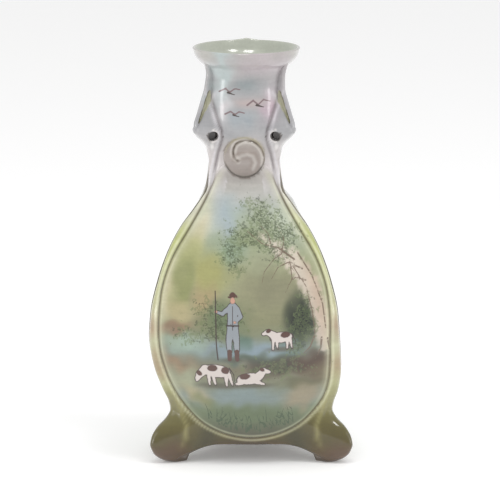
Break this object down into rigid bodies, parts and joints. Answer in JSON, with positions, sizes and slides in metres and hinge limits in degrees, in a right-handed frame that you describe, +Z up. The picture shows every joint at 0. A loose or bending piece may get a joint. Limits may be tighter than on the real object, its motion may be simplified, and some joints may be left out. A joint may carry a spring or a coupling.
{
  "type": "footed vase",
  "caption": "Three-sided bottle vase on splayed feet, with a round flared mouth, finned neck, scrolled ears and raised fields.",
  "frame": {"origin": "centre of the bounding box on the ground plane, under the feet", "axes": "+Z up, from the feet to the mouth; -Y towards the painted side that faces the viewer; +X to the viewer's right"},
  "size_m": [0.1032, 0.1016, 0.2109],
  "materials": {
    "glazed_porcelain": "clear glaze over painted porcelain"
  },
  "bodies": {
    "root": {"vase": "glazed_porcelain"}
  },
  "joints": []
}
